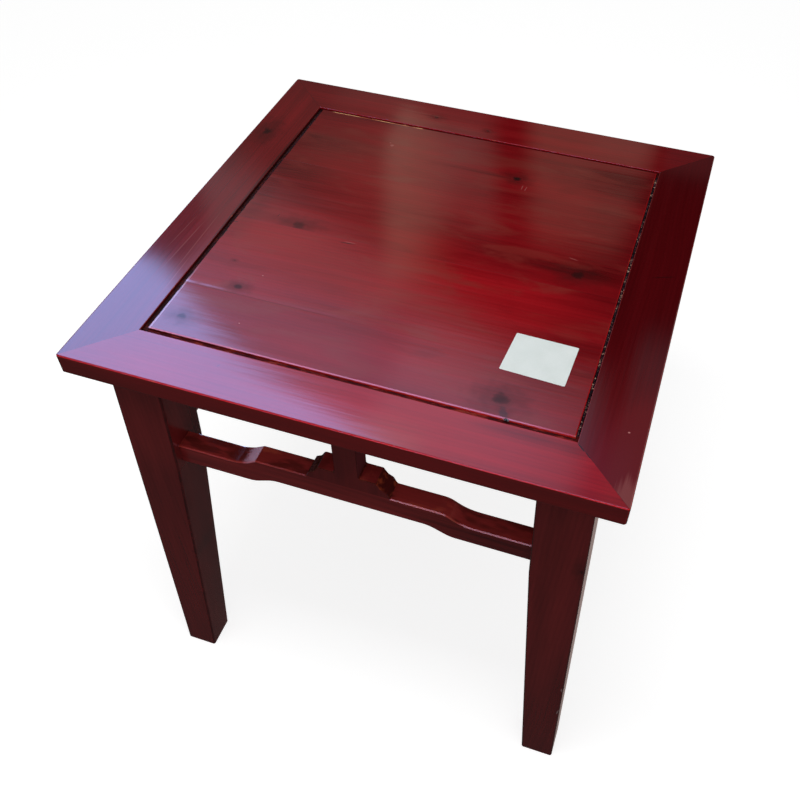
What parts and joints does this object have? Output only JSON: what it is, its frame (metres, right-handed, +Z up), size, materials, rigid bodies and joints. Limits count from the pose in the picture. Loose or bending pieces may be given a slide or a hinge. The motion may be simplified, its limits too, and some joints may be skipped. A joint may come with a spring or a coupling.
{
  "type": "square dining table",
  "caption": "Square wooden table in the eight immortals style: mitred frame round a floating panel, splayed tapered legs, humpback stretchers and stepped struts.",
  "frame": {"origin": "on the floor, under the middle of the top", "axes": "+Z up; the front edge lies along X, towards -Y; +X to the right seen from the front"},
  "size_m": [0.72, 0.72, 0.75],
  "materials": {
    "frame_wood": "red-brown tinted lacquer, glossy, over straight-grained softwood",
    "panel_wood": "red-brown tinted lacquer, glossy, over edge-glued softwood boards",
    "leg_wood": "dark red-brown lacquer, satin to glossy, over softwood",
    "stretcher_wood": "dark red-brown lacquer, glossy, over softwood, darker on end grain",
    "hidden_wood": "one thin coat of red-brown lacquer over softwood"
  },
  "bodies": {
    "root": {"frame_rail_front": "frame_wood", "frame_rail_right": "frame_wood", "frame_rail_back": "frame_wood", "frame_rail_left": "frame_wood", "panel_board_front": "panel_wood", "panel_board_mid_front": "panel_wood", "panel_board_mid_back": "panel_wood", "panel_board_back": "panel_wood", "panel_batten_left": "hidden_wood", "panel_batten_right": "hidden_wood", "leg_front_left": "leg_wood", "leg_front_right": "leg_wood", "leg_back_right": "leg_wood", "leg_back_left": "leg_wood", "stretcher_front": "stretcher_wood", "stretcher_right": "stretcher_wood", "stretcher_back": "stretcher_wood", "stretcher_left": "stretcher_wood", "strut_front": "stretcher_wood", "strut_right": "stretcher_wood", "strut_back": "stretcher_wood", "strut_left": "stretcher_wood"}
  },
  "joints": []
}
